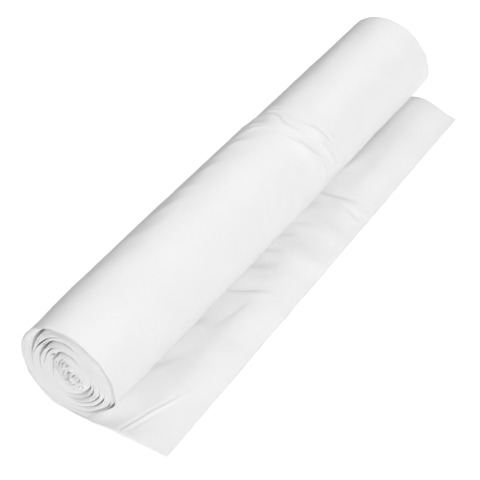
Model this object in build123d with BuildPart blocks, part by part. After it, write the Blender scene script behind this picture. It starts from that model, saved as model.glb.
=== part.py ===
from build123d import *
from math import cos, radians, sin
import os

# Coreless roll of thin bin bags: one long web of folded, perforated film, wound on itself.
# The roll lies along Y on a flat surface with Z up, and the tail of the last bag runs out to +X.
# The origin is on that surface, below the roll's axis and midway between its two ends.
# Millimetres and degrees throughout.

# Wound turns
ROLL_LENGTH = 330.0
WIDE_RADIUS = 30.2  # half of the oval section's long axis
NARROW_RADIUS = 29.2  # half of its short axis
SECTION_LEAN = -32.0  # the long axis leans down towards the tail
AXIS_HEIGHT = 27.6  # less than the radius, so the roll sits on a flat spot
FACET_ANGLE = -43.3  # where the outer turn is pulled straight, just above the tail
FACET_DISTANCE = 25.8  # from the axis to that straight stretch
FACET_ROUNDING = 7.0

# Tail of the last bag, one folded web lying out on the surface
WEB_THICKNESS = 0.4  # four plies of film with the air between them
TAIL_REACH_NEAR = 58.6  # from the axis to the torn edge, at the near end (-Y)
TAIL_REACH_FAR = 51.5
TAIL_LIFT_NEAR = 1.2  # how high the slack web stands off the surface
TAIL_LIFT_FAR = 6.6
TAIL_CREST_NEAR = 36.0  # from the axis to the top of that slack
TAIL_CREST_FAR = 32.0
TAIL_EMERGES = 16.0  # where the web comes out from under the roll, still flat
TAIL_SETTLES = 10.0  # how far short of the torn edge the web is flat again
MIDDLE_POLE_SHARE = 3 / 8  # of a curve with five poles, halfway along

# Gaps between slack turns, seen at both ends and the same distance deep at each.
# Each is (start, crown, finish, width), and a place is (distance from the axis, angle),
# with angle 0 towards the tail and 90 up.
GAP_DEPTH = 12.0
UPPER_GAPS = [
    ((28.2, 84), (27.0, 122), (24.0, 185), 2.6),
    ((23.8, 108), (21.9, 132), (21.8, 155), 0.8),
    ((21.4, 93), (19.0, 137), (19.1, 188), 1.8),
    ((16.4, 125), (15.7, 143), (15.4, 162), 0.7),
    ((14.2, 88), (11.9, 135), (11.4, 200), 1.6),
]
LOWER_GAPS = [
    ((13.4, 14), (12.0, -35), (13.2, -72), 1.8),
    ((14.7, -15), (15.0, -45), (16.2, -77), 1.5),
    ((19.6, -4), (18.4, -31), (17.8, -58), 0.8),
    ((21.8, -14), (21.2, -37), (20.8, -58), 1.0),
    ((26.8, -15), (24.2, -42), (24.0, -56), 1.3),
]
CORE_GAPS = [
    ((7.6, 168), (5.6, 135), (7.4, 95), 1.1),
    ((2.6, 170), (3.0, -135), (7.0, -95), 1.2),
    ((6.8, 35), (5.4, 0), (6.6, -40), 1.2),
]


def place(distance, angle):
    """A point of the section, in the plane across the roll."""
    return (distance * cos(radians(angle)), AXIS_HEIGHT + distance * sin(radians(angle)))


def tail_profile(along, reach, crest, lift):
    """The web's cross-section at one distance along the roll: flat, then slack, then flat."""
    poles = [
        (0, 0),
        (TAIL_EMERGES, 0),
        (crest, lift / MIDDLE_POLE_SHARE),
        (reach - TAIL_SETTLES, 0),
        (reach, 0),
    ]
    top_poles = [(x, z + WEB_THICKNESS) for x, z in reversed(poles)]
    with BuildSketch(Plane.XZ.offset(-along)) as profile:
        with BuildLine():
            Bezier(*poles)
            Line(poles[-1], top_poles[0])
            Bezier(*top_poles)
            Line(top_poles[-1], poles[0])
        make_face()
    return profile.sketch.face()


# Bag roll: the wound turns and the loose tail are one web, so they are one solid
with BuildPart() as bag_roll:
    # Oval section, pressed flat on the surface and pulled straight above the tail
    with BuildSketch(Plane.XZ) as section:
        with Locations((0, AXIS_HEIGHT)):
            Ellipse(WIDE_RADIUS, NARROW_RADIUS, rotation=SECTION_LEAN)
            with PolarLocations(FACET_DISTANCE, 1, start_angle=FACET_ANGLE):
                Rectangle(
                    WIDE_RADIUS,
                    2 * WIDE_RADIUS,
                    align=(Align.MIN, Align.CENTER),
                    mode=Mode.SUBTRACT,
                )
        Rectangle(
            3 * WIDE_RADIUS,
            WIDE_RADIUS,
            align=(Align.CENTER, Align.MAX),
            mode=Mode.SUBTRACT,
        )
        fillet(section.vertices().sort_by(Axis.X)[-1], radius=FACET_ROUNDING)
    extrude(amount=ROLL_LENGTH / 2, both=True)

    # Loose tail, slacker and shorter towards the far end
    near_end = tail_profile(-ROLL_LENGTH / 2, TAIL_REACH_NEAR, TAIL_CREST_NEAR, TAIL_LIFT_NEAR)
    far_end = tail_profile(ROLL_LENGTH / 2, TAIL_REACH_FAR, TAIL_CREST_FAR, TAIL_LIFT_FAR)
    loft([near_end, far_end])

    # Gaps between the slack turns, cut inwards from each end
    for side in (-1, 1):
        with BuildSketch(Plane.XZ.offset(-side * ROLL_LENGTH / 2)) as gaps:
            for start, crown, finish, width in UPPER_GAPS + LOWER_GAPS + CORE_GAPS:
                inner_crown = (crown[0] - width, crown[1])
                with BuildLine():
                    ThreePointArc(place(*start), place(*crown), place(*finish))
                    ThreePointArc(place(*finish), place(*inner_crown), place(*start))
                make_face()
        extrude(amount=side * GAP_DEPTH, mode=Mode.SUBTRACT)

os.makedirs("parts", exist_ok=True)
bag_roll.part.label = "bag_roll"
export_step(bag_roll.part, "parts/bag_roll.step")
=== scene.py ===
import bpy
import numpy as np
from mathutils import Matrix, Vector


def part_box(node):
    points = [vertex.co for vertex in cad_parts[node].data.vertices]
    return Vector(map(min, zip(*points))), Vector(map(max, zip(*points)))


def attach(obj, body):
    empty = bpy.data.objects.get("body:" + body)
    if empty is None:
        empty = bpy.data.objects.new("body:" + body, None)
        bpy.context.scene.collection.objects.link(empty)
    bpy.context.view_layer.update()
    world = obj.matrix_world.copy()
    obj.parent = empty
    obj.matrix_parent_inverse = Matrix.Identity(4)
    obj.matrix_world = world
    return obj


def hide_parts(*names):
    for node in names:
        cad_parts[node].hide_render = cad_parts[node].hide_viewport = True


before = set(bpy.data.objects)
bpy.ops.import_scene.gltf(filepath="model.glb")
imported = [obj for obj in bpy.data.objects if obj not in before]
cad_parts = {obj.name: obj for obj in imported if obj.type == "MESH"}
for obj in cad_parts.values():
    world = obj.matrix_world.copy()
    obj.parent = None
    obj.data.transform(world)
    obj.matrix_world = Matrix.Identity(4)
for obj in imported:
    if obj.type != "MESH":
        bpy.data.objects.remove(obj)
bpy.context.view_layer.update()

# ------------------------------------------------------------------ driving sizes
# Millimetres and degrees. A place on the roll is (distance along the roll, angle round the axis),
# with angle 0 towards the tail and 90 up, and the near end at minus HALF.

MM = 0.001
low_corner, high_corner = (np.array(corner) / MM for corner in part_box("bag_roll"))
HALF = (high_corner[1] - low_corner[1]) / 2

# The roll's section is an oval that leans away from the tail, pulled straight just above the tail
# and flat where it lies on the floor
WIDE_RADIUS = 30.2
NARROW_RADIUS = 29.2
SECTION_LEAN = -32.0
AXIS_HEIGHT = 27.6
FACET_ANGLE = -43.3
FACET_DISTANCE = 25.8
FACET_SHARPNESS = 0.9
FLAT_SHARPNESS = 4.0
LEAST_FACING = 0.3  # keeps the two flats out of the far side of the section

FILM = 0.34  # thickness of one folded web
WRAP_START = -86.0  # the last turn comes out from under the roll here
WRAP_END = 273.0  # and runs into the tail here
TAIL_START = -1.0  # the tail starts below the axis
TAIL_REACH_NEAR = high_corner[0]
TAIL_REACH_FAR = TAIL_REACH_NEAR - 7.1  # the torn edge runs at a slant
CORNER_INSET = 2.2  # the tail's near corner is drawn in this far


# ------------------------------------------------------------------ small shared helpers

FILM_UV = "film"  # the UV map that the materials read
MM_PER_UV = 100  # so patterns keep their size along the web


def smooth(value, start, end):
    """0 before start, 1 after end, and an even S-curve between."""
    t = np.clip((value - start) / (end - start), 0, 1)
    return t * t * (3 - 2 * t)


def soft_min(first, second, sharpness):
    """The smaller of two distances, with the corner between them rounded."""
    return -np.logaddexp(-sharpness * first, -sharpness * second) / sharpness


def wander(seed, wavelength, terms=7):
    """A smooth random function of one or two distances, about -1 to 1."""
    dice = np.random.default_rng(seed)
    waves = dice.normal(size=(terms, 2)) * 2 * np.pi / wavelength
    phases = dice.uniform(0, 2 * np.pi, terms)

    def value(along, across=0.0):
        total = 0.0
        for wave, phase in zip(waves, phases):
            total = total + np.sin(wave[0] * along + wave[1] * across + phase)
        return total / np.sqrt(terms)

    return value


def around(values, angle):
    """A smooth closed curve through values spaced evenly round the section from angle 0."""
    values = np.asarray(values, float)
    count = len(values)
    place = np.mod(angle, 360.0) / (360.0 / count)
    index = np.floor(place).astype(int)
    t = place - index
    before, start, end, after = (values[(index + shift) % count] for shift in (-1, 0, 1, 2))
    return 0.5 * (
        2 * start
        + (end - before) * t
        + (2 * before - 5 * start + 4 * end - after) * t**2
        + (3 * start - before - 3 * end + after) * t**3
    )


def rim_radius(angle):
    """The outside of the roll: an oval, pulled straight above the tail and flat on the floor."""
    turned = np.radians(angle - SECTION_LEAN)
    oval = WIDE_RADIUS * NARROW_RADIUS / np.hypot(
        NARROW_RADIUS * np.cos(turned), WIDE_RADIUS * np.sin(turned)
    )
    facing = np.maximum(np.cos(np.radians(angle - FACET_ANGLE)), LEAST_FACING)
    down = np.maximum(-np.sin(np.radians(angle)), LEAST_FACING)
    pulled = soft_min(oval, FACET_DISTANCE / facing, FACET_SHARPNESS)
    return soft_min(pulled, AXIS_HEIGHT / down, FLAT_SHARPNESS)


def on_section(radius, angle, along):
    """Points at a distance and angle from the roll's axis."""
    turned = np.radians(angle)
    return np.stack(
        np.broadcast_arrays(
            radius * np.cos(turned), along, AXIS_HEIGHT + radius * np.sin(turned)
        ),
        axis=-1,
    )


# Shares of a fold's length over which it grows from its foot, and from which it fades away
FOLD_GROWN = 0.35
FOLD_FADES = 0.3
LIP_PLACE = 1.9  # far widths between a fold and its lip


def fold_height(along, across, folds):
    """Sum of pinched folds. Each is (points, near width, far width, height, foot, lip): a positive
    height is a ridge and a negative one a crease, with its own width on each side. The foot is the
    share of the height that the first point already has, and the lip is how far the film turns
    back beside the far flank."""
    total = np.zeros(np.broadcast(along, across).shape)
    for points, near_width, far_width, height, foot, lip in folds:
        points = np.array(points, float)
        steps = np.diff(points, axis=0)
        lengths = np.hypot(*steps.T)
        travelled = np.concatenate([[0], np.cumsum(lengths)])
        outward = np.sign(points[-1, 1] - points[0, 1])
        nearest = np.full(total.shape, np.inf)
        side = np.zeros(total.shape)
        share = np.zeros(total.shape)
        for start, step, length, before in zip(points, steps, lengths, travelled):
            t = ((along - start[0]) * step[0] + (across - start[1]) * step[1]) / length**2
            t = np.clip(t, 0, 1)
            off_along = along - start[0] - t * step[0]
            off_across = across - start[1] - t * step[1]
            gap = np.hypot(off_along, off_across)
            closer = gap < nearest
            nearest = np.where(closer, gap, nearest)
            turned = outward * (off_along * step[1] - off_across * step[0])
            side = np.where(closer, turned / length, side)
            share = np.where(closer, (before + t * length) / travelled[-1], share)
        grown = foot + (1 - foot) * smooth(share, 0, FOLD_GROWN)
        taper = grown * smooth(share, 1.0, FOLD_FADES)
        spread = np.where(side < 0, near_width, far_width)
        middle = np.exp(-((nearest / spread) ** 2))
        past = (side - LIP_PLACE * far_width) / far_width
        beyond = (nearest - np.abs(side)) / far_width
        total += height * taper * (middle - lip * np.exp(-(past**2) - beyond**2))
    return total


def dents(along, across, places):
    """Sum of soft oval hollows. Each is (centre along, centre across, half sizes, lean, depth)."""
    total = np.zeros(np.broadcast(along, across).shape)
    for centre_along, centre_across, half_along, half_across, lean, depth in places:
        c, s = np.cos(np.radians(lean)), np.sin(np.radians(lean))
        one = (along - centre_along) * c + (across - centre_across) * s
        two = (across - centre_across) * c - (along - centre_along) * s
        total -= depth * np.exp(-((one / half_along) ** 2) - ((two / half_across) ** 2))
    return total


def make_piece(name, points, faces, uvs, material):
    """A mesh object at the origin, from points in millimetres, with a UV for each point."""
    mesh = bpy.data.meshes.new(name)
    mesh.from_pydata((np.asarray(points) * MM).tolist(), [], faces)
    mesh.materials.append(material)
    layer = mesh.uv_layers.new(name=FILM_UV)
    corners = np.empty(len(mesh.loops), dtype=np.int32)
    mesh.loops.foreach_get("vertex_index", corners)
    layer.data.foreach_set("uv", np.asarray(uvs)[corners].ravel())
    mesh.validate()
    mesh.shade_smooth()
    piece = bpy.data.objects.new(name, mesh)
    bpy.context.scene.collection.objects.link(piece)
    return piece


def grid_faces(rows, columns, first=0, flip=False):
    """Quads of a grid whose points are stored row by row."""
    row, column = np.meshgrid(np.arange(rows - 1), np.arange(columns - 1), indexing="ij")
    corner = (first + row * columns + column).ravel()
    quads = np.stack([corner, corner + 1, corner + columns + 1, corner + columns], axis=1)
    return (quads[:, ::-1] if flip else quads).tolist()


def make_shell(name, outer, inner, outer_uv, inner_uv, material):
    """A closed sheet between two grids with the same columns. The first and last rows are joined
    by quads, and each side edge is closed by one long face."""
    outer_rows, columns = outer.shape[:2]
    inner_rows = inner.shape[0]
    second = outer_rows * columns
    points = np.concatenate([outer.reshape(-1, 3), inner.reshape(-1, 3)])
    uvs = np.concatenate([outer_uv.reshape(-1, 2), inner_uv.reshape(-1, 2)])
    faces = grid_faces(outer_rows, columns) + grid_faces(inner_rows, columns, second, flip=True)
    last_outer = (outer_rows - 1) * columns
    last_inner = second + (inner_rows - 1) * columns
    for column in range(columns - 1):
        faces.append((second + column, second + column + 1, column + 1, column))
        outer_edge = (last_outer + column, last_outer + column + 1)
        inner_edge = (last_inner + column + 1, last_inner + column)
        faces.append(outer_edge + inner_edge)
    for column, flip in ((0, False), (columns - 1, True)):
        down = [row * columns + column for row in range(outer_rows)]
        back = [second + row * columns + column for row in reversed(range(inner_rows))]
        side = down + back
        faces.append(tuple(reversed(side)) if flip else tuple(side))
    return make_piece(name, points, faces, uvs, material)


# ------------------------------------------------------------------ materials

NOISE_RANGE = (0.3, 0.7)  # nearly all of a noise's values lie between these
CREASE_DEPTH = 0.0004  # metres
ROUGHNESS_SPREAD = 0.06
CLOUD_SCALE = 3.0


def add_socket(tree, name, kind, way="INPUT"):
    """A named input or output of a node group."""
    return tree.interface.new_socket(name=name, in_out=way, socket_type=kind)


def build_crinkle_group():
    """Fine creasing of thin film: puts out a height and a tone that change over the surface."""
    group = bpy.data.node_groups.new("film_crinkle", "ShaderNodeTree")
    add_socket(group, "Vector", "NodeSocketVector")
    add_socket(group, "Crinkle Scale", "NodeSocketFloat")
    add_socket(group, "Streak Scale", "NodeSocketFloat")
    add_socket(group, "Streak Share", "NodeSocketFloat")
    add_socket(group, "Height", "NodeSocketFloat", "OUTPUT")
    add_socket(group, "Tone", "NodeSocketFloat", "OUTPUT")
    nodes, links = group.nodes, group.links
    inputs = nodes.new("NodeGroupInput")
    outputs = nodes.new("NodeGroupOutput")

    crinkle = nodes.new("ShaderNodeTexNoise")
    crinkle.noise_type = "RIDGED_MULTIFRACTAL"
    crinkle.inputs["Detail"].default_value = 3.0
    crinkle.inputs["Roughness"].default_value = 0.5
    crinkle.inputs["Distortion"].default_value = 0.6
    links.new(inputs.outputs["Vector"], crinkle.inputs["Vector"])
    links.new(inputs.outputs["Crinkle Scale"], crinkle.inputs["Scale"])

    stretch = nodes.new("ShaderNodeMapping")
    stretch.inputs["Scale"].default_value = (0.35, 3.0, 1.0)
    links.new(inputs.outputs["Vector"], stretch.inputs["Vector"])
    streaks = nodes.new("ShaderNodeTexNoise")
    streaks.inputs["Detail"].default_value = 4.0
    streaks.inputs["Roughness"].default_value = 0.6
    links.new(stretch.outputs["Vector"], streaks.inputs["Vector"])
    links.new(inputs.outputs["Streak Scale"], streaks.inputs["Scale"])

    blend = nodes.new("ShaderNodeMix")
    blend.data_type = "FLOAT"
    links.new(inputs.outputs["Streak Share"], blend.inputs["Factor"])
    links.new(crinkle.outputs["Fac"], blend.inputs["A"])
    links.new(streaks.outputs["Fac"], blend.inputs["B"])
    links.new(blend.outputs["Result"], outputs.inputs["Height"])

    cloud = nodes.new("ShaderNodeTexNoise")
    cloud.inputs["Detail"].default_value = 2.0
    links.new(inputs.outputs["Vector"], cloud.inputs["Vector"])
    cloud.inputs["Scale"].default_value = CLOUD_SCALE
    links.new(cloud.outputs["Fac"], outputs.inputs["Tone"])
    return group


def film_material(name, crinkle, tones, roughness, bump, scales):
    """Satin white film whose tone, gloss and fine creasing all vary a little. The scales are those
    of its crinkles and its streaks, and the streaks' share of its height."""
    material = bpy.data.materials.new(name)
    material.use_nodes = True
    nodes, links = material.node_tree.nodes, material.node_tree.links
    shader = nodes["Principled BSDF"]
    shader.inputs["IOR"].default_value = 1.5
    place = nodes.new("ShaderNodeUVMap")
    place.uv_map = FILM_UV
    effect = nodes.new("ShaderNodeGroup")
    effect.node_tree = crinkle
    for entry, value in zip(("Crinkle Scale", "Streak Scale", "Streak Share"), scales):
        effect.inputs[entry].default_value = value
    links.new(place.outputs["UV"], effect.inputs["Vector"])

    tone = nodes.new("ShaderNodeMapRange")
    tone.inputs["From Min"].default_value = NOISE_RANGE[0]
    tone.inputs["From Max"].default_value = NOISE_RANGE[1]
    tone.inputs["To Min"].default_value = tones[0]
    tone.inputs["To Max"].default_value = tones[1]
    links.new(effect.outputs["Tone"], tone.inputs["Value"])
    colour = nodes.new("ShaderNodeCombineColor")
    for channel in ("Red", "Green", "Blue"):
        links.new(tone.outputs["Result"], colour.inputs[channel])
    links.new(colour.outputs["Color"], shader.inputs["Base Color"])

    gloss = nodes.new("ShaderNodeMapRange")
    gloss.inputs["To Min"].default_value = roughness - ROUGHNESS_SPREAD
    gloss.inputs["To Max"].default_value = roughness + ROUGHNESS_SPREAD
    links.new(effect.outputs["Height"], gloss.inputs["Value"])
    links.new(gloss.outputs["Result"], shader.inputs["Roughness"])

    relief = nodes.new("ShaderNodeBump")
    relief.inputs["Strength"].default_value = bump
    relief.inputs["Distance"].default_value = CREASE_DEPTH
    links.new(effect.outputs["Height"], relief.inputs["Height"])
    links.new(relief.outputs["Normal"], shader.inputs["Normal"])
    return material


# ------------------------------------------------------------------ last turn round the roll

WRAP_STEP = 1.05  # degrees between columns
MM_PER_DEGREE = np.pi / 180 * 29.5  # round the roll's outside

# Grid rows as (place along the roll, step from there on), finest at the ends and the creases
WRAP_ROWS = [
    (-HALF, 0.5),
    (-HALF + 3, 2.4),
    (-84, 1.2),
    (26, 0.5),
    (58, 2.8),
    (HALF - 3, 0.6),
    (HALF, 1),
]
WRAP_INNER_ROWS = [
    (-HALF, 1),
    (-HALF + 4, 8),
    (-HALF + 20, 145),
    (HALF - 20, 8),
    (HALF - 4, 1),
    (HALF, 1),
]

# The film is loose from the near end to the wrinkle band, and most of all on the shoulder away
# from the tail. Pairs are places along the roll, or angles, over which it changes.
LOOSE_TO = 32.0
TIGHT_FROM = 50.0  # at TIGHT_ANGLE, and nearer by TIGHT_SLANT for each degree above it
TIGHT_ANGLE = 60.0
TIGHT_SLANT = 0.06
LOOSE_LIFT = 0.35
SHOULDER_LIFT = 0.75
SHOULDER_RISE = (50, 125)
SHOULDER_FALL = (260, 190)
RIM_SHARE = 0.1  # of that slack is left at the near end
RIM_REACH = 40
OFF_FLOOR = ((-60, -30), (255, 225))
SWELL_LIFT = 0.16
SWELL_STRETCH = 0.5  # a scale along the roll that makes the swell's waves longer
FINE_SWELL_LIFT = 0.05

WRAP_CLEARANCE = 0.08  # inside the CAD outline
TUCK_DEPTH = 0.8  # the start of the last turn is drawn in, just above the tail
TUCK_ANGLES = (-20, -62)
BACKING_DEPTH = 0.9  # the unseen inner face lies this much deeper, away from the ends
BACKING_REACH = (3, 20)
EDGE_INSET = 0.25  # both edges are drawn in a little, unevenly
EDGE_WAVE = 0.22
EDGE_REACH = 3
FAR_EDGE_WAVE = 40.0  # where the far edge reads its random waves

# Folds are (points, near width, far width, height, foot, lip), and on the last turn a point is a
# place along the roll and an angle. These make the wrinkle band where the loose near part of the
# last turn meets the tight far part.
BAND_FOLDS = [
    (((29, 132), (31, 116), (33.5, 97)), 3.5, 1.5, 0.7, 0.3, 0.0),
    (((36, 136), (36.5, 117), (35, 102)), 1.6, 1.6, -0.45, 1.0, 0.0),
    (
        ((41, 132), (42.8, 114), (41, 101), (36.6, 88), (37.6, 73), (40.5, 55)),
        *(3.0, 1.5, 1.15, 0.5, 0.1),
    ),
    (((46, 132), (48, 116), (49.5, 97)), 3.0, 1.5, 0.75, 0.4, 0.0),
    (((52, 130), (53, 114), (52.5, 103)), 2.0, 1.3, 0.45, 0.4, 0.0),
    (((45.5, 104), (44, 86), (43, 70)), 2.2, 2.2, 0.2, 0.3, 0.0),
    (((31.8, 58), (33.0, 47), (35.8, 37), (40.6, 23)), 6.0, 1.7, 1.45, 0.6, 0.1),
    (((47.8, 60), (49.0, 46), (52.6, 29)), 6.0, 1.7, 1.4, 0.6, 0.1),
    (((54.0, 44), (55.5, 38), (57.5, 32)), 1.6, 1.0, 0.55, 0.3, 0.0),
    (((46.0, 34), (47.8, 19), (49.0, 3)), 3.0, 1.6, 1.15, 0.6, 0.1),
    (((38.6, 19), (38.2, 6), (36.5, -10)), 2.0, 1.4, 0.85, 0.5, 0.1),
    (((42.6, 22), (42.2, 6), (41, -14)), 1.3, 1.3, 0.4, 0.4, 0.0),
]
# Small crumples along the shoulder away from the tail
SHOULDER_FOLDS = [
    (((-88, 129), (-83, 119), (-80, 112)), 3.0, 2.4, 0.25, 0.3, 0.0),
    (((-66, 127), (-56, 118), (-46, 112)), 3.5, 2.2, 0.4, 0.3, 0.0),
    (((-41, 130), (-37, 118), (-33, 102)), 2.5, 1.7, 0.45, 0.3, 0.0),
    (((-24, 126), (-14, 117), (-6, 104)), 4.0, 2.2, 0.6, 0.3, 0.0),
    (((-6, 129), (-1, 120), (2, 113)), 2.0, 1.5, 0.35, 0.3, 0.0),
    (((4, 128), (12, 113), (17, 96)), 3.5, 1.6, 0.6, 0.3, 0.0),
    (((16, 130), (20, 120), (23, 112)), 2.2, 1.3, 0.4, 0.3, 0.0),
    (((20, 128), (26, 114), (31, 100), (33, 88)), 2.6, 1.4, 0.65, 0.3, 0.0),
]
# Hollows are (along, millimetres round the roll, half sizes, lean, depth)
SIDE_DENTS = [
    (6, 12 * MM_PER_DEGREE, 3.6, 6.5, 15, 0.42),
    (-59, 40 * MM_PER_DEGREE, 2.5, 5, 25, 0.12),
    (-18, 20 * MM_PER_DEGREE, 4, 2, 0, 0.12),
    (118, 25 * MM_PER_DEGREE, 4, 8, 20, 0.12),
]

loose_swell = wander(3, 60.0)
fine_swell = wander(5, 22.0)
rim_wave = wander(8, 26.0)


def wrap_relief(along, angle):
    """How far the last turn stands off the plain outline."""
    across = angle * MM_PER_DEGREE
    band = [
        ([(y, a * MM_PER_DEGREE) for y, a in points], *shape)
        for points, *shape in BAND_FOLDS + SHOULDER_FOLDS
    ]
    edge = smooth(along, TIGHT_FROM - TIGHT_SLANT * (angle - TIGHT_ANGLE), LOOSE_TO)
    shoulder = SHOULDER_LIFT * smooth(angle, *SHOULDER_RISE) * smooth(angle, *SHOULDER_FALL)
    slack = edge * (LOOSE_LIFT + shoulder)
    slack = slack * (RIM_SHARE + (1 - RIM_SHARE) * smooth(along, -HALF, -HALF + RIM_REACH))
    off_floor = smooth(angle, *OFF_FLOOR[0]) * smooth(angle, *OFF_FLOOR[1])
    relief = slack + fold_height(along, across, band) + dents(along, across, SIDE_DENTS)
    relief = relief + SWELL_LIFT * loose_swell(along * SWELL_STRETCH, across)
    relief = relief + FINE_SWELL_LIFT * fine_swell(along, across)
    return relief * off_floor


def wrap_skin(along, angle, depth):
    """Points of the last turn, depth below its outer face."""
    tucked = TUCK_DEPTH * smooth(angle, *TUCK_ANGLES)
    radius = rim_radius(angle) - WRAP_CLEARANCE - tucked + wrap_relief(along, angle) - depth
    across = angle * MM_PER_DEGREE
    near = smooth(along, -HALF + EDGE_REACH, -HALF)
    far = smooth(along, HALF - EDGE_REACH, HALF)
    near_inset = EDGE_INSET + EDGE_WAVE * rim_wave(across)
    far_inset = EDGE_INSET + EDGE_WAVE * rim_wave(across, FAR_EDGE_WAVE)
    return on_section(radius, angle, along + (near * near_inset - far * far_inset))


def film_uv(along, across):
    """Film coordinates from millimetres along the roll and along the web."""
    return np.stack(np.broadcast_arrays(across / MM_PER_UV, along / MM_PER_UV), axis=-1)


def spaced(stops):
    """Places from (start, step) stops, ending at the last one, whose step isn't used."""
    parts = []
    for (start, step), (end, _) in zip(stops, stops[1:]):
        parts.append(np.linspace(start, end, max(int(round((end - start) / step)), 1) + 1)[:-1])
    return np.concatenate([*parts, [stops[-1][0]]])


def make_last_turn(material):
    """The outermost turn, from under the roll on the tail's side, over the top and back under."""
    angles = np.linspace(WRAP_START, WRAP_END, int((WRAP_END - WRAP_START) / WRAP_STEP))
    along, angle = np.meshgrid(spaced(WRAP_ROWS), angles, indexing="ij")
    inner_along, inner_angle = np.meshgrid(spaced(WRAP_INNER_ROWS), angles, indexing="ij")
    outer = wrap_skin(along, angle, 0.0)
    deep = FILM + BACKING_DEPTH * smooth(HALF - np.abs(inner_along), *BACKING_REACH)
    inner = wrap_skin(inner_along, inner_angle, deep)
    outer_uv = film_uv(along, angle * MM_PER_DEGREE)
    inner_uv = film_uv(inner_along, inner_angle * MM_PER_DEGREE)
    return make_shell("last_turn", outer, inner, outer_uv, inner_uv, material)


# ------------------------------------------------------------------ loose tail

# On the tail a fold's point is a place along the roll and a distance out from the axis
TAIL_FOLDS = [
    (((-163, 30.5), (-146, 35.5), (-130, 41), (-112, 47.5)), 0.9, 0.9, 0.55, 0.8, 0.6),
    (((-160, 33.5), (-143, 38.5), (-127, 43.5)), 0.8, 0.8, -0.35, 0.7, 0.0),
    (((-165, 12), (-157, 19), (-140, 27)), 8.0, 10.0, -2.4, 1.0, 0.0),
    (((-122, 14), (-106, 22), (-88, 32)), 4.0, 6.5, -1.6, 1.0, 0.0),
    (((-85, 8), (-74, 18), (-62, 29)), 6.0, 6.0, -2.6, 1.0, 0.0),
    (((-74, 29), (-60, 32), (-45, 35)), 1.5, 2.6, -0.75, 0.3, 0.0),
    (((-52, 10), (-47, 19), (-40.5, 30), (-31, 46)), 3.0, 4.5, -3.3, 1.0, 0.0),
    (((-28, 9), (-22, 18), (-12, 35)), 4.8, 5.0, -3.4, 1.0, 0.0),
    (((-13, 10), (-9, 18), (-2, 32)), 3.2, 3.5, -2.1, 1.0, 0.0),
    (((3, 9), (7, 16), (16, 30)), 3.2, 3.0, -3.3, 1.0, 0.0),
    (((15, 10), (20, 18), (28, 32)), 3.2, 3.5, -2.1, 1.0, 0.0),
    (((35, 8), (42, 18), (50, 31)), 6.5, 4.0, -2.9, 1.0, 0.0),
    (((50, 8), (54.5, 18), (57, 31), (60, 46)), 3.2, 3.0, -3.6, 1.0, 0.0),
    (((45, 60), (47.5, 49), (51, 31)), 2.4, 2.8, -1.3, 0.7, 0.0),
]
# Hollows, or bulges where the depth is negative, are (along, out, half sizes, lean, depth)
TAIL_DENTS = [
    (-12, 40, 6, 9, 35, 1.2),
    (14, 38, 8, 9, 20, 2.0),
    (36, 36, 7, 9, 20, 1.4),
    (-86, 47, 8, 12, 10, -1.6),
    (-57, 47, 8, 9, 10, -1.4),
    (-3, 48, 7, 9, 15, -1.6),
    (24, 46, 7, 9, 15, -1.3),
    (-148, 48, 9, 8, 20, 0.3),
    (104, 44, 20, 12, 15, -0.6),
    (148, 52, 14, 8, 60, 0.8),
]

tail_swell = wander(21, 70.0)
tail_ripple = wander(23, 16.0)


# Between the roll and its free edge the tail stands off the floor in one low hump. Pairs are
# places over which it changes, along the roll or out from its axis.
LIFT = 2.4
MIDDLE_LIFT = 2.9
MIDDLE_REACH = (-140, -60)
FAR_LIFT = 3.0
FAR_REACH = (50, 120)
RISE_FROM = 6.0
RISE_TO = 17.0
FAR_RISE = 13.0  # the hump rises this much further out at the far end
FAR_RISE_REACH = (50, 110)
CREST = 36.0  # out from the axis at the near end, and CREST_SHIFT less at the far end
CREST_SHIFT = 4.0
CREST_WIDTH = 3.0
EDGE_FLAT = 0.5  # the free edge lies down over this width
SAG = 0.25
SAG_FROM = 18
SLACK_REACH = (7, 16)
REST_LIFT = 0.25
FLOOR_SOFTNESS = 0.25
TAIL_SWELL = (0.4, 0.6)  # height, and a scale out from the roll that makes the waves longer
TAIL_RIPPLE = (0.12, 0.5)
CORNER_FROM = 12  # out from the axis
CORNER_SHARE = 0.06  # of the tail's length

TAIL_ROWS = [(-HALF, 0.62), (62, 2.4), (HALF - 3, 0.8), (HALF, 1)]
TAIL_COLUMNS = [(0, 1.5), (14, 0.52), (TAIL_REACH_NEAR - TAIL_START, 1)]
TAIL_UV_START = 150  # the film's pattern carries on past the last turn


def tail_reach(along_share):
    """How far the free edge is from the axis."""
    return TAIL_REACH_NEAR + (TAIL_REACH_FAR - TAIL_REACH_NEAR) * along_share


def soft_floor(height):
    """The film lies on the floor instead of passing through it."""
    return FLOOR_SOFTNESS * np.logaddexp(0.0, height / FLOOR_SOFTNESS)


def tail_height(along, out):
    """Height of the tail's top face above the floor."""
    lift = LIFT + MIDDLE_LIFT * smooth(along, *MIDDLE_REACH) + FAR_LIFT * smooth(along, *FAR_REACH)
    reach = tail_reach((along + HALF) / (2 * HALF))
    crest = CREST - CREST_SHIFT * smooth(along, -HALF, HALF)
    rise = smooth(out, RISE_FROM, RISE_TO + FAR_RISE * smooth(along, *FAR_RISE_REACH))
    fall = smooth(out, reach - EDGE_FLAT, crest - CREST_WIDTH)
    fall = fall * (1 - SAG * smooth(out, SAG_FROM, crest))
    slack = smooth(out, *SLACK_REACH)
    folds = fold_height(along, out, TAIL_FOLDS) + dents(along, out, TAIL_DENTS)
    swell = TAIL_SWELL[0] * tail_swell(along, out * TAIL_SWELL[1])
    ripple = swell + TAIL_RIPPLE[0] * tail_ripple(along, out * TAIL_RIPPLE[1])
    height = lift * rise * fall + slack * (folds + ripple) + REST_LIFT * slack
    return FILM + soft_floor(height)


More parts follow.
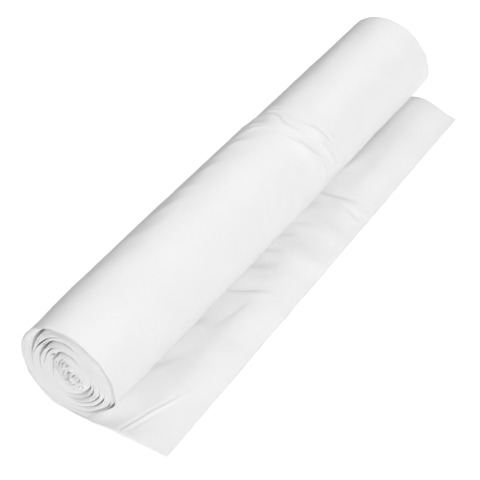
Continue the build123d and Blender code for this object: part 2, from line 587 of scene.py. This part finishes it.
def tail_point(along_share, out_share, under):
    """A point of the tail from shares of its length and width; under is 1 on the lower face."""
    along = -HALF + 2 * HALF * along_share
    reach = tail_reach(along_share)
    out = TAIL_START + (reach - TAIL_START) * out_share
    height = tail_height(along, out) - FILM * under
    inset = CORNER_INSET * smooth(out, CORNER_FROM, reach) * smooth(along_share, CORNER_SHARE, 0)
    return np.stack(np.broadcast_arrays(out, along + inset, height), axis=-1)


def make_tail(material):
    """The end of the last bag, from under the roll to its torn edge."""
    rows = (spaced(TAIL_ROWS) + HALF) / (2 * HALF)
    columns = spaced(TAIL_COLUMNS) / (TAIL_REACH_NEAR - TAIL_START)
    along, out = np.meshgrid(rows, columns, indexing="ij")
    # The rows run along Y and the columns to +X, so the columns are turned to face the top up
    top = tail_point(along, out, 0.0)[:, ::-1]
    bottom = tail_point(along, out, 1.0)[:, ::-1]
    uv = film_uv(top[..., 1], top[..., 0] + TAIL_UV_START)
    return make_shell("loose_tail", top, bottom, uv, uv, material)


# ------------------------------------------------------------------ torn perforation

NIB_PITCH = 2.4
NIB_SIZE = (1.1, 0.7, 0.26)  # out from the edge, along it, thickness
NIB_TURN = Vector((0.0, 0.12, 0.3))  # radians, either way
NIB_LEAST = (0.5, 0.6, 1)  # shares of that size
NIB_MOST = (1.4, 1.2, 1)
NIB_SEED = 4
TEAR_ENDS = (0.012, 0.992)  # shares of the tail's length
TEAR_POINTS = 240
UV_PER_METRE = 1 / (MM_PER_UV * MM)


def build_nib_tree():
    """Geometry nodes that set small uneven nibs of torn film along an edge."""
    tree = bpy.data.node_groups.new("tear_nibs", "GeometryNodeTree")
    sockets = {
        name: add_socket(tree, name, kind).identifier
        for name, kind in (
            ("Edge", "NodeSocketGeometry"),
            ("Pitch", "NodeSocketFloat"),
            ("Size", "NodeSocketVector"),
            ("Seed", "NodeSocketInt"),
            ("Film", "NodeSocketMaterial"),
        )
    }
    add_socket(tree, "Nibs", "NodeSocketGeometry", "OUTPUT")
    nodes, links = tree.nodes, tree.links
    inputs = nodes.new("NodeGroupInput")
    outputs = nodes.new("NodeGroupOutput")

    path = nodes.new("GeometryNodeMeshToCurve")
    links.new(inputs.outputs["Edge"], path.inputs["Mesh"])
    steps = nodes.new("GeometryNodeResampleCurve")
    steps.mode = "LENGTH"
    links.new(path.outputs["Curve"], steps.inputs["Curve"])
    links.new(inputs.outputs["Pitch"], steps.inputs["Length"])

    nib = nodes.new("GeometryNodeMeshCube")
    links.new(inputs.outputs["Size"], nib.inputs["Size"])
    spread = nodes.new("GeometryNodeInstanceOnPoints")
    links.new(steps.outputs["Curve"], spread.inputs["Points"])
    links.new(nib.outputs["Mesh"], spread.inputs["Instance"])

    turn = nodes.new("FunctionNodeRandomValue")
    turn.data_type = "FLOAT_VECTOR"
    turn.inputs["Min"].default_value = -NIB_TURN
    turn.inputs["Max"].default_value = NIB_TURN
    links.new(inputs.outputs["Seed"], turn.inputs["Seed"])
    links.new(turn.outputs["Value"], spread.inputs["Rotation"])
    length = nodes.new("FunctionNodeRandomValue")
    length.data_type = "FLOAT_VECTOR"
    length.inputs["Min"].default_value = NIB_LEAST
    length.inputs["Max"].default_value = NIB_MOST
    links.new(inputs.outputs["Seed"], length.inputs["Seed"])
    links.new(length.outputs["Value"], spread.inputs["Scale"])

    solid = nodes.new("GeometryNodeRealizeInstances")
    links.new(spread.outputs["Instances"], solid.inputs["Geometry"])
    place = nodes.new("GeometryNodeInputPosition")
    scaled = nodes.new("ShaderNodeVectorMath")
    scaled.operation = "SCALE"
    scaled.inputs["Scale"].default_value = UV_PER_METRE
    links.new(place.outputs["Position"], scaled.inputs["Vector"])
    mapped = nodes.new("GeometryNodeStoreNamedAttribute")
    mapped.data_type = "FLOAT2"
    mapped.domain = "CORNER"
    mapped.inputs["Name"].default_value = FILM_UV
    links.new(solid.outputs["Geometry"], mapped.inputs["Geometry"])
    links.new(scaled.outputs["Vector"], mapped.inputs["Value"])
    coat = nodes.new("GeometryNodeSetMaterial")
    links.new(mapped.outputs["Geometry"], coat.inputs["Geometry"])
    links.new(inputs.outputs["Film"], coat.inputs["Material"])
    links.new(coat.outputs["Geometry"], outputs.inputs["Nibs"])
    return tree, sockets


def make_tear_nibs(material):
    """The torn perforation where the last bag came away, along the tail's free edge."""
    tree, sockets = build_nib_tree()
    along = np.linspace(*TEAR_ENDS, TEAR_POINTS)
    edge = tail_point(along, np.ones_like(along), 0.5)
    mesh = bpy.data.meshes.new("tear_edge")
    links = [(step, step + 1) for step in range(len(along) - 1)]
    mesh.from_pydata((edge * MM).tolist(), links, [])
    guide = bpy.data.objects.new("tear_edge", mesh)
    bpy.context.scene.collection.objects.link(guide)
    modifier = guide.modifiers.new("nibs", "NODES")
    modifier.node_group = tree
    modifier[sockets["Pitch"]] = NIB_PITCH * MM
    modifier[sockets["Size"]] = [size * MM for size in NIB_SIZE]
    modifier[sockets["Seed"]] = NIB_SEED
    modifier[sockets["Film"]] = material
    bpy.context.view_layer.update()
    evaluated = guide.evaluated_get(bpy.context.evaluated_depsgraph_get())
    solid = bpy.data.meshes.new_from_object(evaluated)
    solid.name = "tear_nibs"
    bpy.data.objects.remove(guide)
    piece = bpy.data.objects.new("tear_nibs", solid)
    bpy.context.scene.collection.objects.link(piece)
    return piece


# ------------------------------------------------------------------ wound turns

# The turns lie in bundles: the bundle's last turn counted from the centre, and the distance from
# the axis of the slack place outside it, at even angles round the section from the tail's side
BUNDLES = [
    (11, [13.2, 13.6, 14.4, 11.8, 10.3, 12.2, 13.4, 12.6]),
    (17, [15.4, 15.6, 17.8, 16.0, 15.3, 15.2, 16.4, 15.4]),
    (22, [19.5, 19.2, 21.6, 18.8, 18.9, 18.6, 18.0, 18.2]),
    (27, [22.4, 22.8, 25.0, 21.6, 22.0, 21.6, 20.9, 21.0]),
    (
        33,
        [26.4, 26.8, 27.2, 27.9, 28.2, 27.8, 25.8, 24.3]
        + [24.0, 24.4, 24.8, 24.6, 24.2, 24.2, 24.2, 25.6],
    ),
]
BUNDLE_SEAM = 0.125  # turns past angle 0 where one bundle gives way to the next
LAST_TURNS = 38
OUTER_SEAM = 0.8
OUTER_END = 0.759  # the web ends just short of that seam
FIRST_TURN = 0.3
AXIS_GAP = 0.6
RIM_CLEARANCE = 0.6
# Gaps as (bundle they lie outside of, start angle, end angle, width, skew), where a skew below 1
# makes a gap widest nearer its start
GAPS = [
    (4, 58, 200, 2.3, 0.85),
    (3, 88, 178, 0.9, 1.0),
    (2, 70, 204, 2.0, 0.9),
    (1, 100, 184, 0.8, 1.0),
    (0, 62, 214, 1.7, 0.8),
    (0, -104, 28, 1.8, 1.1),
    (1, -102, 8, 1.4, 1.0),
    (2, -86, 12, 0.9, 1.0),
    (3, -86, 4, 1.1, 1.0),
    (4, -86, 0, 1.4, 1.1),
]
RIM_GAP = (-34, 50, 1.0, 0.9)
GAP_FULLNESS = 0.9  # below 1 a gap keeps its width nearer to its ends
TURN_STEPS = 96  # points in each turn

# The section of the web at one end: (across, distance in from its end, how spread the turns are
# there), where across is a share of its thickness
WEB_FLANK = [(0.5, 12, 0.0), (0.5, 4, 0.3), (0.5, 1.2, 0.75), (0.5, 0.04, 1.0), (0.3, 0, 1.0)]
WEB_THICKNESS = (0.12, 1.4)
WEB_FILL = 0.98  # share of the pitch
END_WAVES = ((-1, 0.0), (1, 300.0))  # each end's side, and where it reads its random waves
END_INSET = 0.3
END_SWELL = 0.25
END_FRAY = 0.045
FINE_FRAY = (0.5, 5)  # share of the fray, and how much shorter its waves are
GAP_INSET = 1.3  # the turns draw in beside a gap
MOST_INSET = 3.0
FLARE = 0.08  # the edges of the turns lean in or out by this much
FLARE_REACH = 10
FLARE_WAVE = 60.0

# The crumpled centre
CORE_SHAPE = (0.8, 0.3)  # longest from upper left to lower right
CORE_REACH = (7.4, 5.4)
CORE_CRUMPLE = 0.8
CORE_INSET = 0.5
CORE_FRAY = 1.5

core_crumple = wander(31, 6.0, 9)
core_fray = wander(33, 6.5, 12)
turn_fray = wander(35, 45.0, 9)
turn_flare = wander(37, 30.0, 9)
face_swell = wander(39, 24.0)


def gap_width(angle, start, end, width, skew):
    """Width of a gap at an angle; it closes at both its ends."""
    middle = (start + end) / 2
    local = np.mod(angle - middle + 180, 360) - 180 + middle
    t = np.clip((local - start) / (end - start), 0, 1)
    return width * np.sin(np.pi * t**skew) ** GAP_FULLNESS


def turn_radius(turn, angle):
    """The web at a count of turns from the centre: its distance from the axis where the turns lie
    tight, how far it moves where they spread at the roll's ends, its pitch, and the slack beside
    it."""
    marks = [0.0]
    middles = [np.full(turn.shape, AXIS_GAP)]
    openings = [np.zeros(turn.shape)]
    for index, (final, radii) in enumerate(BUNDLES):
        opening = np.zeros(turn.shape)
        for bundle, *gap in GAPS:
            if bundle == index:
                opening = opening + gap_width(angle, *gap)
        marks.append(final + BUNDLE_SEAM)
        middles.append(around(radii, angle))
        openings.append(opening)
    marks.append(LAST_TURNS + OUTER_SEAM)
    middles.append(rim_radius(angle) - RIM_CLEARANCE)
    openings.append(2 * gap_width(angle, *RIM_GAP))
    radius, spread, pitch, slack = (np.zeros(turn.shape) for _ in range(4))
    for index in range(len(middles) - 1):
        inside = (turn >= marks[index]) & (turn < marks[index + 1])
        count = marks[index + 1] - marks[index]
        share = (turn - marks[index]) / count
        start, end = middles[index], middles[index + 1]
        before, after = openings[index] / 2, openings[index + 1] / 2
        radius = np.where(inside, start + (end - start) * share, radius)
        spread = np.where(inside, before * (1 - share) - after * share, spread)
        pitch = np.where(inside, (end - after - start - before) / count, pitch)
        slack = np.where(inside, before * (1 - share) ** 3 + after * share**3, slack)
    return radius, spread, pitch, slack


def make_wound_turns(material):
    """All the turns inside the last one, as one web wound from the centre out."""
    last = LAST_TURNS + OUTER_END
    count = int(last * TURN_STEPS)
    turn = np.linspace(FIRST_TURN, last, count)
    angle = 360.0 * turn
    radius, spread, pitch, slack = turn_radius(turn, angle)
    travelled = np.concatenate(
        [[0], np.cumsum(np.radians(np.diff(angle)) * (radius[1:] + radius[:-1]) / 2)]
    )
    wide, high = radius * np.cos(np.radians(angle)), radius * np.sin(np.radians(angle))
    long, short = CORE_SHAPE
    leaning = np.hypot(long * wide + short * high, short * wide + long * high)
    core = smooth(leaning, *CORE_REACH)
    radius = radius + core * CORE_CRUMPLE * core_crumple(wide, high)
    thickness = np.clip(pitch, *WEB_THICKNESS) * WEB_FILL

    end_shape = WEB_FLANK + [(-across, *place) for across, *place in reversed(WEB_FLANK)]
    loops = []
    uvs = []
    for side, wave in END_WAVES:
        fray = turn_fray(travelled, wave) + FINE_FRAY[0] * turn_fray(travelled * FINE_FRAY[1], wave)
        inset = END_INSET + END_SWELL * face_swell(wide + wave, high)
        inset = inset + END_FRAY * fray + GAP_INSET * slack
        inset = inset + core * (CORE_INSET + CORE_FRAY * core_fray(wide + wave, high))
        inset = np.clip(inset, 0.0, MOST_INSET)
        shape = end_shape if side < 0 else end_shape[::-1]
        for across, inward, opened in shape:
            flare = FLARE * turn_flare(travelled, FLARE_WAVE * side)
            flare = flare * smooth(inward, FLARE_REACH, 0)
            along = side * (HALF - inset - inward)
            from_axis = radius + opened * spread + across * thickness + flare
            loops.append(on_section(from_axis, angle, along))
            uvs.append(film_uv(along, travelled))
    points = np.stack(loops, axis=1)
    uv = np.stack(uvs, axis=1)

    around_count = points.shape[1]
    start = np.arange(count - 1) * around_count
    faces = []
    for step in range(around_count):
        following = (step + 1) % around_count
        corners = (step, following, around_count + following, around_count + step)
        faces += np.stack([start + corner for corner in corners], axis=1).tolist()
    faces.append(tuple(reversed(range(around_count))))
    faces.append(tuple((count - 1) * around_count + step for step in range(around_count)))
    return make_piece("wound_turns", points.reshape(-1, 3), faces, uv.reshape(-1, 2), material)


# ------------------------------------------------------------------ camera, floor and light

# Metres, unless a comment says otherwise
SENSOR_WIDTH = 36.0  # mm
LENS = 114.2  # mm
VIEW_REACH = 50.0
CAMERA_RIGHT = (0.83596, 0.54878, -0.00405)
CAMERA_UP = (-0.36315, 0.55868, 0.74566)
CAMERA_BACK = (0.41146, -0.62187, 0.66632)
CAMERA_PLACE = (0.3634, -0.5563, 0.5894)
LAMP_AIM = (0, 0, 0.02)

# Lamps as (place, (width, height), watts)
LAMPS = {
    "key_right": ((1.4, 0.0, 1.5), (1.0, 1.0), 20.5),
    "low_right": ((1.7, 0.0, 0.3), (2.6, 0.5), 1.2),
    "front": ((0.0, -2.0, 0.75), (1.2, 0.8), 13.5),
    "back": ((0.2, 1.5, 1.5), (1.2, 1.0), 3.0),
    "left": ((-1.0, 0.0, 1.7), (1.0, 2.0), 14.5),
}
CARD_PLACE = (-0.10, 0.15)
CARD_SIZE = (1.2, 0.09)  # length and height
CARD_BLACK = (0.02, 0.02, 0.02, 1)
FLOOR_WHITE = (0.95, 0.95, 0.95, 1)
FLOOR_ROUGHNESS = 0.9
FLOOR_REACH = 6.0
FLOOR_GLOW = 0.5
WORLD_GLOW = 0.15
LIT_REACH = (0.6, 1.4)  # from the roll, where the lamps fade


def point_at(spot, target):
    """The turn that faces a lamp at a spot towards a target."""
    direction = Vector(target) - Vector(spot)
    return direction.to_track_quat("-Z", "Y").to_euler()


def add_camera():
    """Looks down on the roll from beyond its near end, on the tail's side."""
    data = bpy.data.cameras.new("camera")
    data.sensor_width = SENSOR_WIDTH
    data.lens = LENS
    data.clip_end = VIEW_REACH
    camera = bpy.data.objects.new("camera", data)
    columns = (CAMERA_RIGHT, CAMERA_UP, CAMERA_BACK, CAMERA_PLACE)
    camera.matrix_world = Matrix([*zip(*columns), (0, 0, 0, 1)])
    bpy.context.scene.collection.objects.link(camera)
    bpy.context.scene.camera = camera


def add_area_light(name, spot, size, watts):
    """A soft rectangular lamp aimed at the roll."""
    data = bpy.data.lights.new(name, "AREA")
    data.shape = "RECTANGLE"
    data.size, data.size_y = size
    data.energy = watts
    lamp = bpy.data.objects.new(name, data)
    lamp.location = spot
    lamp.rotation_euler = point_at(spot, LAMP_AIM)
    bpy.context.scene.collection.objects.link(lamp)


def add_dark_card(spot, size):
    """A studio flag low beside the roll, out of sight, that darkens the shoulder on its side."""
    half_length, height = size[0] / 2, size[1]
    x, y = spot
    mesh = bpy.data.meshes.new("dark_card")
    mesh.from_pydata(
        [
            (x, y - half_length, 0),
            (x, y + half_length, 0),
            (x, y + half_length, height),
            (x, y - half_length, height),
        ],
        [],
        [(0, 1, 2, 3)],
    )
    card = bpy.data.objects.new("dark_card", mesh)
    bpy.context.scene.collection.objects.link(card)
    card.visible_camera = False
    card.visible_shadow = False
    card.visible_transmission = False
    material = bpy.data.materials.new("card_black")
    material.use_nodes = True
    shader = material.node_tree.nodes["Principled BSDF"]
    shader.inputs["Base Color"].default_value = CARD_BLACK
    shader.inputs["Roughness"].default_value = 1.0
    shader.inputs["Specular IOR Level"].default_value = 0.0
    mesh.materials.append(material)


def seen_directly(nodes, links):
    """1 for camera, glossy and transmission rays."""
    path = nodes.new("ShaderNodeLightPath")
    total = None
    for name in ("Is Camera Ray", "Is Glossy Ray", "Is Transmission Ray"):
        if total is None:
            total = path.outputs[name]
            continue
        adder = nodes.new("ShaderNodeMath")
        adder.operation = "ADD"
        adder.use_clamp = True
        links.new(total, adder.inputs[0])
        links.new(path.outputs[name], adder.inputs[1])
        total = adder.outputs[0]
    return total


def add_world(strength):
    """A plain white studio, which lights the roll less than it shows."""
    world = bpy.data.worlds.new("studio")
    bpy.context.scene.world = world
    world.use_nodes = True
    nodes, links = world.node_tree.nodes, world.node_tree.links
    background = nodes["Background"]
    background.inputs["Color"].default_value = (1, 1, 1, 1)
    level = nodes.new("ShaderNodeMapRange")
    level.inputs["To Min"].default_value = strength
    level.inputs["To Max"].default_value = 1.0
    links.new(seen_directly(nodes, links), level.inputs["Value"])
    links.new(level.outputs["Result"], background.inputs["Strength"])


def add_floor(glow):
    """A matt white floor, whose own glow shows directly and in reflections but casts no light."""
    size = FLOOR_REACH
    mesh = bpy.data.meshes.new("floor")
    mesh.from_pydata(
        [(-size, -size, 0), (size, -size, 0), (size, size, 0), (-size, size, 0)], [], [(0, 1, 2, 3)]
    )
    floor = bpy.data.objects.new("floor", mesh)
    bpy.context.scene.collection.objects.link(floor)
    material = bpy.data.materials.new("floor_white")
    material.use_nodes = True
    nodes, links = material.node_tree.nodes, material.node_tree.links
    shader = nodes["Principled BSDF"]
    shader.inputs["Base Color"].default_value = FLOOR_WHITE
    shader.inputs["Roughness"].default_value = FLOOR_ROUGHNESS
    shader.inputs["Specular IOR Level"].default_value = 0.0
    shader.inputs["Emission Color"].default_value = (1, 1, 1, 1)
    # Past the lamps' reach the floor is as white as the studio behind it
    place = nodes.new("ShaderNodeTexCoord")
    distance = nodes.new("ShaderNodeVectorMath")
    distance.operation = "LENGTH"
    links.new(place.outputs["Object"], distance.inputs[0])
    spread = nodes.new("ShaderNodeMapRange")
    spread.inputs["From Min"].default_value = LIT_REACH[0]
    spread.inputs["From Max"].default_value = LIT_REACH[1]
    spread.inputs["To Min"].default_value = glow
    spread.inputs["To Max"].default_value = 1.0
    links.new(distance.outputs["Value"], spread.inputs["Value"])
    level = nodes.new("ShaderNodeMath")
    level.operation = "MULTIPLY"
    links.new(spread.outputs["Result"], level.inputs[1])
    links.new(seen_directly(nodes, links), level.inputs[0])
    links.new(level.outputs[0], shader.inputs["Emission Strength"])
    mesh.materials.append(material)


# ------------------------------------------------------------------ the roll

crinkle_group = build_crinkle_group()
skin_film = film_material("film_skin", crinkle_group, (0.895, 0.915), 0.42, 0.05, (24, 6, 0.5))
tail_film = film_material("film_tail", crinkle_group, (0.89, 0.92), 0.42, 0.12, (20, 6, 0.3))
# The wound turns are the same film, painted lighter than on the last turn and the tail. This
# painted light brightens the roll's end faces, which the lamps light less.
turn_film_painted_lighter = film_material("film_turns_painted_lighter", crinkle_group, (0.96, 0.985), 0.5, 0.1, (40, 12, 0.5))

last_turn = make_last_turn(skin_film)
loose_tail = make_tail(tail_film)
tear_nibs = make_tear_nibs(tail_film)
wound_turns = make_wound_turns(turn_film_painted_lighter)

for piece in (last_turn, loose_tail, tear_nibs, wound_turns):
    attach(piece, "root")
    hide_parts("bag_roll")

bpy.context.scene.view_settings.view_transform = "Standard"
add_camera()
add_floor(FLOOR_GLOW)
add_world(WORLD_GLOW)
for lamp_name, lamp in LAMPS.items():
    add_area_light(lamp_name, *lamp)
add_dark_card(CARD_PLACE, CARD_SIZE)
